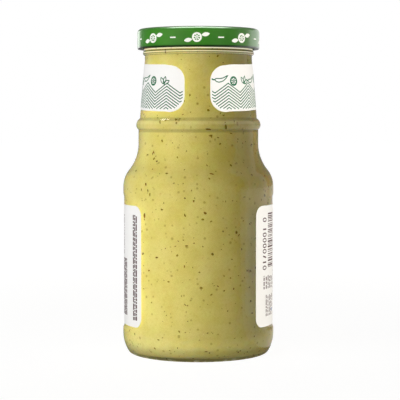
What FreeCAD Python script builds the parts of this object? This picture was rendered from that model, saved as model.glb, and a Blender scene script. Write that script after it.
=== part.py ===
import FreeCAD, Part
import os
import re

import Sketcher

# A shut salsa jar: a turned glass jar with a waisted shoulder, the salsa that fills it, a four-lug
# twist-off metal lid, a paper label round the neck and one round the body. Each label is open at the
# back, which faces -Y. Millimetres, +Z up, with the origin at the centre of the base, on the surface
# that the jar stands on.

# ------------------------------------------------------------------------------------------------
# Driving sizes. Each one is a cell of the spreadsheet, under the same name.
# ------------------------------------------------------------------------------------------------
SIZES = {
    # whole jar
    "total_height": 161.0,
    "body_radius": 37.65,
    "neck_top_radius": 26.55,
    "glass_wall": 2.4,
    "base_glass": 3.2,
    # heel and foot
    "heel_land_top": 12.2,
    "heel_sweep": 17.0,
    "heel_sweep_angle": 32.0,
    "heel_turn": 2.35,
    "foot_ring_width": 1.6,
    "foot_inner_turn": 2.2,
    "push_up_angle": 12.0,
    "inner_heel_turn": 8.5,
    "floor_angle": 15.0,
    # label panel
    "panel_recess": 0.6,
    "panel_step": 2.2,
    # shoulder, and the land under it
    "land_height": 5.2,
    "land_inset": 0.2,
    "shoulder_round": 13.5,
    "shoulder_hollow": 21.0,
    "shoulder_below_top": 56.4,
    # neck, from the band under its collar upwards
    "neck_flare": 2.5,
    "band_step": 0.75,
    "collar_reach": 1.1,
    "collar_below_top": 44.1,
    "collar_height": 5.6,
    "collar_rise": 3.3,
    "neck_straight": 2.2,
    # bead and finish
    "bead_height": 2.3,
    "bead_reach": 0.95,
    "bead_round": 0.8,
    "bead_clearance": 0.7,
    "finish_reach": 0.4,
    "lip_round": 0.9,
    "thread_height": 1.8,
    "thread_reach": 1.9,
    "thread_angle": 48.0,
    "thread_count": 4,
    # lid
    "lid_height": 10.0,
    "lid_clearance": 1.0,
    "lid_sheet": 0.4,
    "lid_corner": 1.9,
    "lid_ring_width": 5.6,
    "lid_panel_drop": 0.9,
    "lid_panel_slope": 0.9,
    "button_radius": 11.5,
    "button_slope": 1.6,
    "button_drop": 0.5,
    "hem_turn": 0.6,
    "hem_height": 1.9,
    "lug_rise": 0.2,
    "lug_height": 0.9,
    "lug_grip": 0.8,
    "lug_clearance": 0.2,
    "lug_angle": 22.0,
    # salsa
    "headspace": 7.6,
    # labels
    "paper": 0.15,
    "body_label_margin_below": 0.6,
    "body_label_margin_above": 3.3,
    "body_label_sweep": 262.8,
    "body_label_turn": -0.2,
    "body_label_corner": 4.8,
    "neck_label_margin_below": 4.5,
    "neck_label_margin_above": 1.9,
    "neck_label_half_gap": 12.3,
    "neck_label_turn": 0.9,
    "neck_label_corner": 7.4,
    "neck_label_droop": 1.4,
    "trim_overrun": 1.0,
}

# Formulas of those sizes that pieces share, so that pieces which meet use the same value.
FORMULAS = {
    # foot, from the heel inwards
    "heel_middle_radius": "body_radius - heel_sweep * (1 - cos(heel_sweep_angle))",
    "heel_middle": "heel_turn * (1 - sin(heel_sweep_angle))",
    "heel_land_bottom": "heel_middle + heel_sweep * sin(heel_sweep_angle)",
    "foot_outer_radius": "heel_middle_radius - heel_turn * cos(heel_sweep_angle)",
    "foot_inner_radius": "foot_outer_radius - foot_ring_width",
    "push_up_edge": "foot_inner_radius - foot_inner_turn * sin(push_up_angle)",
    "push_up_edge_height": "foot_inner_turn * (1 - cos(push_up_angle))",
    "push_up_sphere": "push_up_edge / sin(push_up_angle)",
    "push_up_height": "push_up_edge_height + push_up_sphere * (1 - cos(push_up_angle))",
    # floor of the cavity
    "floor_edge": "inner_panel_radius - inner_heel_turn * (1 + sin(floor_angle))",
    "floor_edge_height": "base_glass + inner_heel_turn * (1 - cos(floor_angle))",
    "floor_sphere": "floor_edge / sin(floor_angle)",
    "floor_height": "floor_edge_height + floor_sphere * (1 - cos(floor_angle))",
    "inner_heel_top": "base_glass + inner_heel_turn",
    # wall of the cavity
    "inner_panel_radius": "panel_radius - glass_wall",
    "inner_round": "shoulder_round - glass_wall",
    "inner_hollow": "shoulder_hollow + glass_wall",
    "inner_band_radius": "band_radius - glass_wall",
    "inner_neck_radius": "neck_bottom_radius - glass_wall",
    "bore_radius": "neck_top_radius - glass_wall",
    "fill_height": "lip_height - headspace",
    # label panel, and the land above it
    "panel_radius": "body_radius - panel_recess",
    "panel_bottom": "heel_land_top + panel_step",
    "panel_top": "shoulder_bottom - land_height",
    "land_radius": "body_radius - land_inset",
    "land_bottom": "panel_top + panel_step",
    # shoulder: its height comes from the two arcs that meet in it
    "shoulder_top": "total_height - shoulder_below_top",
    "shoulder_reach": "land_radius - band_radius",
    "shoulder_arcs": "shoulder_round + shoulder_hollow",
    "shoulder_rise": "sqrt(shoulder_reach * (2 * shoulder_arcs - shoulder_reach))",
    "shoulder_bottom": "shoulder_top - shoulder_rise",
    "inner_reach": "inner_panel_radius - inner_band_radius",
    "inner_arcs": "inner_round + inner_hollow",
    "inner_rise": "sqrt(inner_reach * (2 * inner_arcs - inner_reach))",
    # collar: an arc above its widest line and an arc below it
    "collar_top": "total_height - collar_below_top",
    "collar_middle": "collar_top - collar_rise",
    "collar_bottom": "collar_top - collar_height",
    "collar_radius": "band_radius + collar_reach",
    "collar_drop": "collar_height - collar_rise",
    "collar_over_neck": "collar_reach + band_step",
    # neck, bead and finish
    "band_radius": "neck_bottom_radius + band_step",
    "neck_bottom_radius": "neck_top_radius + neck_flare",
    "neck_taper_top": "bead_bottom - neck_straight",
    "neck_slope": "neck_flare / (neck_taper_top - collar_top)",
    "bead_radius": "neck_top_radius + bead_reach",
    "bead_bottom": "bead_top - bead_height",
    "bead_top": "lid_bottom - bead_clearance",
    "bead_turn": "bead_round + bead_reach / 4",
    "finish_radius": "neck_top_radius + finish_reach",
    "lip_height": "total_height - lid_sheet",
    "thread_radius": "finish_radius + thread_reach",
    "thread_bottom": "lug_top + lug_clearance",
    "thread_top": "thread_bottom + thread_height",
    # lid
    "lid_bottom": "total_height - lid_height",
    "lid_radius": "skirt_inner + lid_sheet",
    "lid_round_edge": "total_height - lid_corner",
    "skirt_inner": "thread_radius + lid_clearance",
    "hem_inner": "lid_radius - 2 * hem_turn",
    "ring_inner": "lid_radius - lid_ring_width",
    "sunk_radius": "ring_inner - lid_panel_slope",
    "sunk_height": "total_height - lid_panel_drop",
    "button_edge": "button_radius - button_slope",
    "button_height": "sunk_height - button_drop",
    "lug_bottom": "lid_bottom + lug_rise",
    "lug_top": "lug_bottom + lug_height",
    "lug_inner": "thread_radius - lug_grip",
    # labels
    "body_label_bottom": "panel_bottom + body_label_margin_below",
    "body_label_top": "panel_top - body_label_margin_above",
    "body_label_end": "180 - body_label_sweep / 2",
    "neck_label_bottom": "collar_top + neck_label_margin_below",
    "neck_label_top": "neck_taper_top - neck_label_margin_above",
    "neck_label_half_width": "neck_bottom_radius * sin(neck_label_half_gap)",
    "neck_label_shoulder": "neck_label_half_width + neck_label_corner",
    "neck_blank_bottom": "neck_label_bottom - 2 * neck_label_droop",
    "neck_blank_top": "neck_label_top + 2 * neck_label_droop",
}

doc = FreeCAD.newDocument("salsa_jar")


# ------------------------------------------------------------------------------------------------
# Spreadsheet and expressions
# ------------------------------------------------------------------------------------------------
def make_sheet():
    new_sheet = doc.addObject("Spreadsheet::Sheet", "sizes")
    for row, (name, size) in enumerate(SIZES.items(), start=1):
        new_sheet.set("A%d" % row, name)
        new_sheet.set("B%d" % row, str(size))
        new_sheet.setAlias("B%d" % row, name)
    doc.recompute()
    return new_sheet


def bound(formula):
    """A formula of the names above, as a FreeCAD expression that reads the spreadsheet."""
    def expand(match):
        word = match.group()
        if word in FORMULAS:
            return "(" + bound(FORMULAS[word]) + ")"
        if word in SIZES:
            return "sizes." + word
        return word
    return re.sub(r"[a-z_]+", expand, formula)


def value(formula):
    """The formula's number at the sheet's present values."""
    return float(sheet.evalExpression(bound(formula)))


sheet = make_sheet()


# ------------------------------------------------------------------------------------------------
# Outlines: each is a list of runs, and a run is its kind, the point it goes to and its radius
# ------------------------------------------------------------------------------------------------
def line(across, up):
    """A straight run to the point (across, up)."""
    return ("line", across, up, None)


def left_arc(across, up, radius):
    """An arc to (across, up) that bends to the left of the way it goes."""
    return ("left", across, up, radius)


def right_arc(across, up, radius):
    """An arc to (across, up) that bends to the right of the way it goes."""
    return ("right", across, up, radius)


def backwards(start, runs):
    """The same runs from their last point back to the point they start at."""
    opposite = {"line": "line", "left": "right", "right": "left"}
    points = [start] + [(across, up) for kind, across, up, radius in runs]
    return [(opposite[run[0]], point[0], point[1], run[3])
            for run, point in reversed(list(zip(runs, points)))]


def arc_between(start, end, radius, turns_left):
    """The short arc of this radius between two points. FreeCAD draws every arc anticlockwise."""
    first, last = (start, end) if turns_left else (end, start)
    chord = last - first
    rise = max(radius ** 2 - (chord.Length / 2) ** 2, 0.0) ** 0.5
    inward = FreeCAD.Vector(-chord.y, chord.x, 0).normalize()
    centre = (first + last) * 0.5 + inward * rise
    angles = []
    for point in (first, last):
        spoke = point - centre
        angle = FreeCAD.Vector(1, 0, 0).getAngle(spoke)
        angles.append(angle if spoke.y >= 0 else -angle)
    circle = Part.Circle(centre, FreeCAD.Vector(0, 0, 1), radius)
    return Part.ArcOfCircle(circle, angles[0], angles[1])


# ------------------------------------------------------------------------------------------------
# Sketches and features
# ------------------------------------------------------------------------------------------------
def bind(sketch, constraint, formula):
    index = sketch.addConstraint(constraint)
    sketch.setExpression("Constraints[%d]" % index, bound(formula))


def place_point(sketch, geometry, end, across, up):
    """Fix one end of a line or an arc: on an axis, or at its two distances from the origin."""
    if across == "0":
        sketch.addConstraint(Sketcher.Constraint("PointOnObject", geometry, end, -2))
    else:
        bind(sketch, Sketcher.Constraint("DistanceX", -1, 1, geometry, end, value(across)), across)
    if up == "0":
        sketch.addConstraint(Sketcher.Constraint("PointOnObject", geometry, end, -1))
    else:
        bind(sketch, Sketcher.Constraint("DistanceY", -1, 1, geometry, end, value(up)), up)


def draw_outline(sketch, runs):
    """Draw a closed outline; its first run starts where its last one ends."""
    first = sketch.GeometryCount
    points = [FreeCAD.Vector(value(across), value(up), 0) for kind, across, up, radius in runs]
    for step, (kind, across, up, radius) in enumerate(runs):
        if kind == "line":
            sketch.addGeometry(Part.LineSegment(points[step - 1], points[step]))
        else:
            arc = arc_between(points[step - 1], points[step], value(radius), kind == "left")
            sketch.addGeometry(arc)
    for step, (kind, across, up, radius) in enumerate(runs):
        following = (step + 1) % len(runs)
        far_end = 1 if kind == "right" else 2
        near_end = 2 if runs[following][0] == "right" else 1
        sketch.addConstraint(Sketcher.Constraint(
            "Coincident", first + step, far_end, first + following, near_end))
        place_point(sketch, first + step, far_end, across, up)
        if kind != "line":
            bind(sketch, Sketcher.Constraint("Radius", first + step, value(radius)), radius)


def new_body(label):
    body = doc.addObject("PartDesign::Body", label)
    body.Label = label
    return body


def new_sketch(body, name, plane, *outlines):
    """Closed outlines on one of the body's own origin planes."""
    sketch = body.newObject("Sketcher::SketchObject", name)
    support = [feature for feature in body.Origin.OriginFeatures if feature.Role == plane]
    sketch.AttachmentSupport = [(support[0], "")]
    sketch.MapMode = "FlatFace"
    for runs in outlines:
        draw_outline(sketch, runs)
    doc.recompute()
    return sketch


def revolve(body, name, sketch, angle="360"):
    """Turn a sketch about the upright axis, as far to one side of it as to the other."""
    feature = body.newObject("PartDesign::Revolution", name)
    feature.Profile = sketch
    feature.ReferenceAxis = (sketch, ["V_Axis"])
    feature.Midplane = True
    feature.setExpression("Angle", bound(angle))
    doc.recompute()
    return feature


def repeat_round(body, name, feature, count):
    """Repeat a turned feature evenly round the upright axis."""
    pattern = body.newObject("PartDesign::PolarPattern", name)
    pattern.Originals = [feature]
    pattern.Axis = (feature.Profile[0], ["V_Axis"])
    pattern.Angle = 360.0
    pattern.setExpression("Occurrences", bound(count))
    body.Tip = pattern
    doc.recompute()


def trim(body, name, sketch, both_sides=False):
    """Cut a sketch through the body, to its back or to both sides. Stop if nothing comes off."""
    before = body.Shape.Volume
    pocket = body.newObject("PartDesign::Pocket", name)
    pocket.Profile = sketch
    pocket.Type = "ThroughAll"
    pocket.Midplane = both_sides
    pocket.Reversed = not both_sides
    doc.recompute()
    if not body.Shape.Volume < before:
        raise RuntimeError(name + " cuts nothing")


def turn_sketch(sketch, upright, angle):
    """Turn a sketch about its own upright line: +1 is towards +X for a sketch that faces -Y."""
    sketch.AttachmentOffset = FreeCAD.Placement(
        FreeCAD.Vector(0, 0, 0), FreeCAD.Rotation(FreeCAD.Vector(0, upright, 0), value(angle)))
    sketch.setExpression("AttachmentOffset.Rotation.Angle", "(%s) * 1 deg" % bound(angle))
    doc.recompute()


def turn_clockwise(body, angle):
    """Turn a finished piece about the jar's axis, clockwise from above."""
    body.Placement = FreeCAD.Placement(
        FreeCAD.Vector(0, 0, 0), FreeCAD.Rotation(FreeCAD.Vector(0, 0, -1), value(angle)))
    body.setExpression("Placement.Rotation.Angle", "(%s) * 1 deg" % bound(angle))
    doc.recompute()


# ------------------------------------------------------------------------------------------------
# The jar's outline, from the middle of its underside round to the middle of its floor
# ------------------------------------------------------------------------------------------------
def foot_outline():
    """The domed underside, the ring that the jar stands on, and the heel up to its land."""
    return [
        right_arc("push_up_edge", "push_up_edge_height", "push_up_sphere"),
        left_arc("foot_inner_radius", "0", "foot_inner_turn"),
        line("foot_outer_radius", "0"),
        left_arc("heel_middle_radius", "heel_middle", "heel_turn"),
        left_arc("body_radius", "heel_land_bottom", "heel_sweep"),
        line("body_radius", "heel_land_top"),
    ]


def soft_step(radius_here, here, radius_there, there, first, second):
    """A step between two upright walls: two equal arcs that meet halfway, each tangent to its wall."""
    reach = "(%s - %s)" % (radius_there, radius_here)
    rise = "(%s - %s)" % (there, here)
    turn = "(%s ^ 2 + %s ^ 2) / (4 * abs(%s))" % (rise, reach, reach)
    middle_radius = "(%s + %s) / 2" % (radius_here, radius_there)
    middle = "(%s + %s) / 2" % (here, there)
    return [first(middle_radius, middle, turn), second(radius_there, there, turn)]


def panel_outline():
    """The recessed label panel between its two soft steps, and the land above it."""
    step_in = soft_step(
        "body_radius", "heel_land_top", "panel_radius", "panel_bottom", left_arc, right_arc)
    step_out = soft_step(
        "panel_radius", "panel_top", "land_radius", "land_bottom", right_arc, left_arc)
    return step_in + [line("panel_radius", "panel_top")] + step_out


def shoulder_outline(wide, narrow, rise, round_turn, hollow_turn):
    """A waisted shoulder, upwards: a round arc and a hollow one that is tangent to it."""
    hollow_share = "%s / (%s + %s)" % (hollow_turn, round_turn, hollow_turn)
    middle_radius = "%s + (%s - %s) * %s" % (narrow, wide, narrow, hollow_share)
    middle = "shoulder_top - %s * %s" % (rise, hollow_share)
    return [
        line(wide, "shoulder_top - " + rise),
        left_arc(middle_radius, middle, round_turn),
        right_arc(narrow, "shoulder_top", hollow_turn),
    ]


def neck_outline():
    """The band, the collar, the tapered neck and the bead under the lid."""
    lower_turn = "(collar_drop ^ 2 + collar_reach ^ 2) / (2 * collar_reach)"
    upper_turn = "(collar_rise ^ 2 + collar_over_neck ^ 2) / (2 * collar_over_neck)"
    return [
        line("band_radius", "collar_bottom"),
        left_arc("collar_radius", "collar_middle", lower_turn),
        left_arc("neck_bottom_radius", "collar_top", upper_turn),
        line("neck_top_radius", "neck_taper_top"),
        line("neck_top_radius", "bead_bottom"),
        left_arc("bead_radius", "bead_bottom + bead_round", "bead_turn"),
        line("bead_radius", "bead_top - bead_round"),
        left_arc("finish_radius", "bead_top", "bead_turn"),
    ]


def finish_outline():
    """The plain wall under the lid, over its rounded lip and into the bore."""
    return [
        line("finish_radius", "lip_height - lip_round"),
        left_arc("finish_radius - lip_round", "lip_height", "lip_round"),
        line("bore_radius + lip_round", "lip_height"),
        left_arc("bore_radius", "lip_height - lip_round", "lip_round"),
    ]


def filled_wall():
    """The wall of the cavity, upwards from the middle of its domed floor to the top of the bore's
    taper. The salsa has the same outline."""
    return (
        [right_arc("floor_edge", "floor_edge_height", "floor_sphere"),
         left_arc("inner_panel_radius", "inner_heel_top", "inner_heel_turn")]
        + shoulder_outline("inner_panel_radius", "inner_band_radius", "inner_rise",
                           "inner_round", "inner_hollow")
        + [line("inner_band_radius", "collar_bottom"),
           line("inner_neck_radius", "collar_top"),
           line("bore_radius", "neck_taper_top")]
    )


# ------------------------------------------------------------------------------------------------
# Pieces
# ------------------------------------------------------------------------------------------------
def make_glass_jar():
    """The glass, with the four short threads of its finish."""
    body = new_body("glass_jar")
    wall = (
        foot_outline()
        + panel_outline()
        + shoulder_outline("land_radius", "band_radius", "shoulder_rise",
                           "shoulder_round", "shoulder_hollow")
        + neck_outline()
        + finish_outline()
        + [line("bore_radius", "neck_taper_top")]
        + backwards(("0", "floor_height"), filled_wall())
        + [line("0", "push_up_height")]
    )
    revolve(body, "jar_turned", new_sketch(body, "jar_outline", "XZ_Plane", wall))
    # The thread's root lies inside the wall that it stands on, so that the two join as one solid.
    thread = [
        line("thread_radius", "thread_bottom + thread_height / 4"),
        line("thread_radius", "thread_top - thread_height / 2"),
        line("finish_radius", "thread_top"),
        line("neck_top_radius", "thread_top"),
        line("neck_top_radius", "thread_bottom"),
        line("thread_radius - thread_reach / 4", "thread_bottom"),
    ]
    thread_sketch = new_sketch(body, "thread_outline", "XZ_Plane", thread)
    first_thread = revolve(body, "thread_turned", thread_sketch, "thread_angle")
    repeat_round(body, "threads_turned", first_thread, "thread_count")
    return body


def make_salsa():
    """The salsa fills the glass up to its headspace, out of sight behind the lid's skirt."""
    body = new_body("salsa")
    outline = filled_wall() + [
        line("bore_radius", "fill_height"),
        line("0", "fill_height"),
        line("0", "floor_height"),
    ]
    revolve(body, "salsa_turned", new_sketch(body, "salsa_outline", "XZ_Plane", outline))
    return body


def make_lid():
    """A pressed sheet lid: raised ring, sunk panel and button, skirt with a rolled hem, and a lug
    under each thread of the glass."""
    body = new_body("lid")
    underside = [
        line("0", "button_height - lid_sheet"),
        line("button_edge", "button_height - lid_sheet"),
        line("button_radius", "sunk_height - lid_sheet"),
        line("sunk_radius", "sunk_height - lid_sheet"),
        line("ring_inner", "lip_height"),
        line("lid_radius - lid_corner", "lip_height"),
        right_arc("skirt_inner", "lid_round_edge", "lid_corner - lid_sheet"),
        line("skirt_inner", "lid_bottom + hem_height"),
        line("hem_inner", "lid_bottom + hem_height - hem_turn"),
        line("hem_inner", "lid_bottom + hem_turn"),
        left_arc("lid_radius - hem_turn", "lid_bottom", "hem_turn"),
    ]
    outside = [
        left_arc("lid_radius", "lid_bottom + hem_turn", "hem_turn"),
        line("lid_radius", "lid_round_edge"),
        left_arc("lid_radius - lid_corner", "total_height", "lid_corner"),
        line("ring_inner", "total_height"),
        line("sunk_radius", "sunk_height"),
        line("button_radius", "sunk_height"),
        line("button_edge", "button_height"),
        line("0", "button_height"),
    ]
    sketch = new_sketch(body, "lid_outline", "XZ_Plane", underside + outside)
    revolve(body, "lid_turned", sketch)
    lug = [
        line("lid_radius - hem_turn", "lug_top"),
        line("lug_inner", "lug_top"),
        line("lug_inner", "lug_bottom"),
        line("lid_radius - hem_turn", "lug_bottom"),
    ]
    lug_sketch = new_sketch(body, "lug_outline", "XZ_Plane", lug)
    first_lug = revolve(body, "lug_turned", lug_sketch, "lug_angle")
    repeat_round(body, "lugs_turned", first_lug, "thread_count")
    return body


def make_body_label():
    """Paper on the label panel, with the four corners of its two ends rounded."""
    body = new_body("body_label")
    paper = [
        line("panel_radius", "body_label_bottom"),
        line("panel_radius + paper", "body_label_bottom"),
        line("panel_radius + paper", "body_label_top"),
        line("panel_radius", "body_label_top"),
    ]
    sketch = new_sketch(body, "body_label_outline", "YZ_Plane", paper)
    revolve(body, "body_label_turned", sketch, "body_label_sweep")
    for side, upright, sign, arc in (("right", 1, "", right_arc), ("left", -1, "-", left_arc)):
        scraps = new_sketch(body, side + "_scraps", "XZ_Plane", *corner_scraps(sign, arc))
        turn_sketch(scraps, upright, "body_label_end")
        trim(body, side + "_corners", scraps)
    turn_clockwise(body, "body_label_turn")
    return body


def corner_scraps(sign, arc):
    """What is cut away outside the two rounded corners of one end of the body label. The end is at 0
    across, the paper on the side that sign gives, and arc is the way that its outline bends."""
    beyond = ("-" if sign == "" else "") + "trim_overrun"
    inside = sign + "body_label_corner"
    lower = [
        line(beyond, "body_label_bottom - trim_overrun"),
        line(inside, "body_label_bottom - trim_overrun"),
        line(inside, "body_label_bottom"),
        arc("0", "body_label_bottom + body_label_corner", "body_label_corner"),
        line(beyond, "body_label_bottom + body_label_corner"),
    ]
    upper = [
        line(beyond, "body_label_top - body_label_corner"),
        line("0", "body_label_top - body_label_corner"),
        arc(inside, "body_label_top", "body_label_corner"),
        line(inside, "body_label_top + trim_overrun"),
        line(beyond, "body_label_top + trim_overrun"),
    ]
    return [lower, upper]


def make_neck_label():
    """Paper on the tapered neck. Its edges droop from the front to the back, and the two ends there
    are rounded."""
    body = new_body("neck_label")
    radius_at = "neck_bottom_radius - neck_slope * (%s - collar_top)"
    blank = [
        line(radius_at % "neck_blank_bottom", "neck_blank_bottom"),
        line(radius_at % "neck_blank_bottom" + " + paper", "neck_blank_bottom"),
        line(radius_at % "neck_blank_top" + " + paper", "neck_blank_top"),
        line(radius_at % "neck_blank_top", "neck_blank_top"),
    ]
    revolve(body, "neck_label_turned", new_sketch(body, "neck_label_outline", "XZ_Plane", blank))
    edges = new_sketch(body, "edge_scraps", "YZ_Plane", *edge_scraps())
    trim(body, "slanted_edges", edges, both_sides=True)
    trim(body, "rounded_ends", new_sketch(body, "gap_outline", "XZ_Plane", gap_outline()))
    turn_clockwise(body, "neck_label_turn")
    return body


def edge_scraps():
    """What is cut away below and above the neck label, seen from the side, its front to the right."""
    clear = "neck_bottom_radius + trim_overrun"
    below = [
        line("-(%s)" % clear, "neck_blank_bottom - trim_overrun"),
        line(clear, "neck_blank_bottom - trim_overrun"),
        line(clear, "neck_label_bottom + neck_label_droop"),
        line("-(%s)" % clear, "neck_label_bottom - neck_label_droop"),
    ]
    above = [
        line("-(%s)" % clear, "neck_label_top - neck_label_droop"),
        line(clear, "neck_label_top + neck_label_droop"),
        line(clear, "neck_blank_top + trim_overrun"),
        line("-(%s)" % clear, "neck_blank_top + trim_overrun"),
    ]
    return [below, above]


def gap_outline():
    """The gap between the neck label's ends, flared round their four corners."""
    bottom = "neck_label_bottom - neck_label_droop"
    top = "neck_label_top - neck_label_droop"
    half = "neck_label_half_width"
    wide = "neck_label_shoulder"
    corner = "neck_label_corner"
    return [
        line("-" + wide, "neck_blank_bottom - trim_overrun"),
        line(wide, "neck_blank_bottom - trim_overrun"),
        line(wide, bottom),
        right_arc(half, bottom + " + " + corner, corner),
        line(half, top + " - " + corner),
        right_arc(wide, top, corner),
        line(wide, "neck_blank_top + trim_overrun"),
        line("-" + wide, "neck_blank_top + trim_overrun"),
        line("-" + wide, top),
        right_arc("-" + half, top + " - " + corner, corner),
        line("-" + half, bottom + " + " + corner),
        right_arc("-" + wide, bottom, corner),
    ]


# ------------------------------------------------------------------------------------------------
# Check and export
# ------------------------------------------------------------------------------------------------
def check_document(pieces):
    for item in doc.Objects:
        if "Invalid" in item.State or "Error" in item.State:
            raise RuntimeError("%s failed: %s" % (item.Label, item.State))
    for piece in pieces:
        if piece.Shape.isNull() or not piece.Shape.isValid():
            raise RuntimeError("%s has no valid shape" % piece.Label)
        if len(piece.Shape.Solids) != 1:
            raise RuntimeError("%s is %d solids" % (piece.Label, len(piece.Shape.Solids)))


def export(pieces):
    os.makedirs("parts", exist_ok=True)
    for piece in pieces:
        piece.Shape.exportStep(os.path.join("parts", piece.Label + ".step"))
        print("%-11s %9.1f mm3" % (piece.Label, piece.Shape.Volume))


jar_pieces = [make_glass_jar(), make_salsa(), make_lid(), make_body_label(), make_neck_label()]
doc.recompute()
check_document(jar_pieces)
export(jar_pieces)
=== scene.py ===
"""A shut jar of green salsa: its looks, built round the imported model.

The jar stands on z = 0 with its axis on the Z axis, and the open ends of both labels face -Y.
Shapes are worked out in millimetres, and every mesh is made in metres. A place on the jar is given
by its angle round the axis, from -Y towards +X, its height, and its distance from the axis.
"""
import bisect
import random
from math import asin, atan2, ceil, cos, degrees, dist, floor, hypot, pi, radians, sin, sqrt

import bmesh
import bpy
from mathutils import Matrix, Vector, noise


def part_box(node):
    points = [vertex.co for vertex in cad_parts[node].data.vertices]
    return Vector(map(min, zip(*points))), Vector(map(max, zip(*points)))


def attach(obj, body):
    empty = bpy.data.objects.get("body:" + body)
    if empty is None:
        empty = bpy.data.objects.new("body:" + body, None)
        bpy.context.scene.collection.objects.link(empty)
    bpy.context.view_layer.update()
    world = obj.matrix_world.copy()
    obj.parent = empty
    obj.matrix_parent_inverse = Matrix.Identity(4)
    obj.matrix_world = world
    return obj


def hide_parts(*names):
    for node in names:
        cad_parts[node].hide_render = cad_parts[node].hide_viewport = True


MM = 0.001
HAIR = 1e-6

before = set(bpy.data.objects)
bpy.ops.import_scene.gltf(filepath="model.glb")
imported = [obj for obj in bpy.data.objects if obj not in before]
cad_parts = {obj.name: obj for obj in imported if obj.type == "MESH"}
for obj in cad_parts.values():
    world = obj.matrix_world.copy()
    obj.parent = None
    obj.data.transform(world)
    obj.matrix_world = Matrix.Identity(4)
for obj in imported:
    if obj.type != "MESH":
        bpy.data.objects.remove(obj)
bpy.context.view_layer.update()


# ---- Sizes, in millimetres and degrees
def extent(node):
    """A CAD node's lowest point, its highest point and its largest distance out from the axis."""
    low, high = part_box(node)
    return low.z / MM, high.z / MM, max(-low.x, high.x, -low.y, high.y) / MM


GLASS_BOTTOM, LIP_HEIGHT, BODY_RADIUS = extent("glass_jar")
FILL_HEIGHT, SALSA_RADIUS = extent("salsa")[1:]
LID_BOTTOM, LID_TOP, LID_RADIUS = extent("lid")
BODY_LABEL_BOTTOM, BODY_LABEL_TOP, BODY_LABEL_RADIUS = extent("body_label")

PAPER = 0.15
PANEL_RADIUS = BODY_LABEL_RADIUS - PAPER
GLASS_WALL = PANEL_RADIUS - SALSA_RADIUS

# heel, foot and floor
HEEL_SWEEP = 17.0
HEEL_SWEEP_ANGLE = 32.0
HEEL_TURN = 2.35
FOOT_RING_WIDTH = 1.6
FOOT_INNER_TURN = 2.2
PUSH_UP_ANGLE = 12.0
BASE_GLASS = 3.2
INNER_HEEL_TURN = 8.5
FLOOR_ANGLE = 15.0
# label panel
PANEL_STEP = 2.2
PANEL_BOTTOM = BODY_LABEL_BOTTOM - 0.6
PANEL_TOP = BODY_LABEL_TOP + 3.3
LAND_RADIUS = BODY_RADIUS - 0.2
# shoulder, collar and neck
SHOULDER_TOP = LID_TOP - 56.4
SHOULDER_ROUND = 13.5
SHOULDER_HOLLOW = 21.0
NECK_TOP_RADIUS = 26.55
NECK_BOTTOM_RADIUS = NECK_TOP_RADIUS + 2.5
BAND_RADIUS = NECK_BOTTOM_RADIUS + 0.75
COLLAR_TOP = LID_TOP - 44.1
COLLAR_RISE = 3.3
COLLAR_DROP = 2.3
COLLAR_REACH = 1.1
BEAD_TOP = LID_BOTTOM - 0.7
BEAD_BOTTOM = BEAD_TOP - 2.3
BEAD_RADIUS = NECK_TOP_RADIUS + 0.95
BEAD_ROUND = 0.8
NECK_TAPER_TOP = BEAD_BOTTOM - 2.2
# lines round the glass, of painted shade in its creases and round the bead under the lid, and of
# painted highlights that glow under the lid, on the bead and on the collar: each as its height, half
# its width and its strength
PAINTED_SHADE_LINES = [(COLLAR_TOP - COLLAR_RISE - COLLAR_DROP - 0.3, 1.0, 0.5), (COLLAR_TOP - 0.3, 0.9, 0.36),
              (BEAD_TOP - 0.35, 0.4, 0.85), (BEAD_TOP - 1.5, 0.22, 0.55), (BEAD_BOTTOM, 0.25, 0.45)]
PAINTED_HIGHLIGHT_LINES = [(LID_BOTTOM - 0.2, 0.28, 0.6), (BEAD_TOP - 1.0, 0.24, 0.45),
                (BEAD_TOP - 1.95, 0.2, 0.12), (COLLAR_TOP - 2.1, 0.9, 0.06)]
# the height of the foot's band of painted shade, in which pale streaks of painted reflection glow
PAINTED_FOOT_BAND = 2.3
NECK_SLOPE = (NECK_BOTTOM_RADIUS - NECK_TOP_RADIUS) / (NECK_TAPER_TOP - COLLAR_TOP)
FINISH_RADIUS = NECK_TOP_RADIUS + 0.4
LIP_ROUND = 0.9
THREAD_RADIUS = FINISH_RADIUS + 1.9
THREAD_ANGLE = 48.0
THREAD_RUN_OUT = 2.5
THREAD_COUNT = 4
# lid
LID_SHEET = 0.4
LID_CORNER = 1.9
LID_RING_WIDTH = 5.6
LID_PANEL_DROP = 0.9
LID_PANEL_SLOPE = 0.9
LID_PANEL_EASE = 0.2
BUTTON_RADIUS = 11.5
BUTTON_SLOPE = 1.6
BUTTON_DROP = 0.5
BUTTON_FLAT = BUTTON_RADIUS - BUTTON_SLOPE - 0.6
HEM_TURN = 0.6
HEM_HEIGHT = 1.9
LUG_BOTTOM = LID_BOTTOM + 0.2
LUG_TOP = LUG_BOTTOM + 0.9
LUG_INNER = THREAD_RADIUS - 0.8
LUG_ANGLE = 22.0
LUG_ROUND = 0.35
THREAD_BOTTOM = LUG_TOP + 0.2
THREAD_TOP = THREAD_BOTTOM + 1.8
THREAD_ROWS = (THREAD_BOTTOM, THREAD_BOTTOM + 0.1, THREAD_BOTTOM + 0.45,
               THREAD_TOP - 0.9, THREAD_TOP - 0.05, THREAD_TOP)
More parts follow.
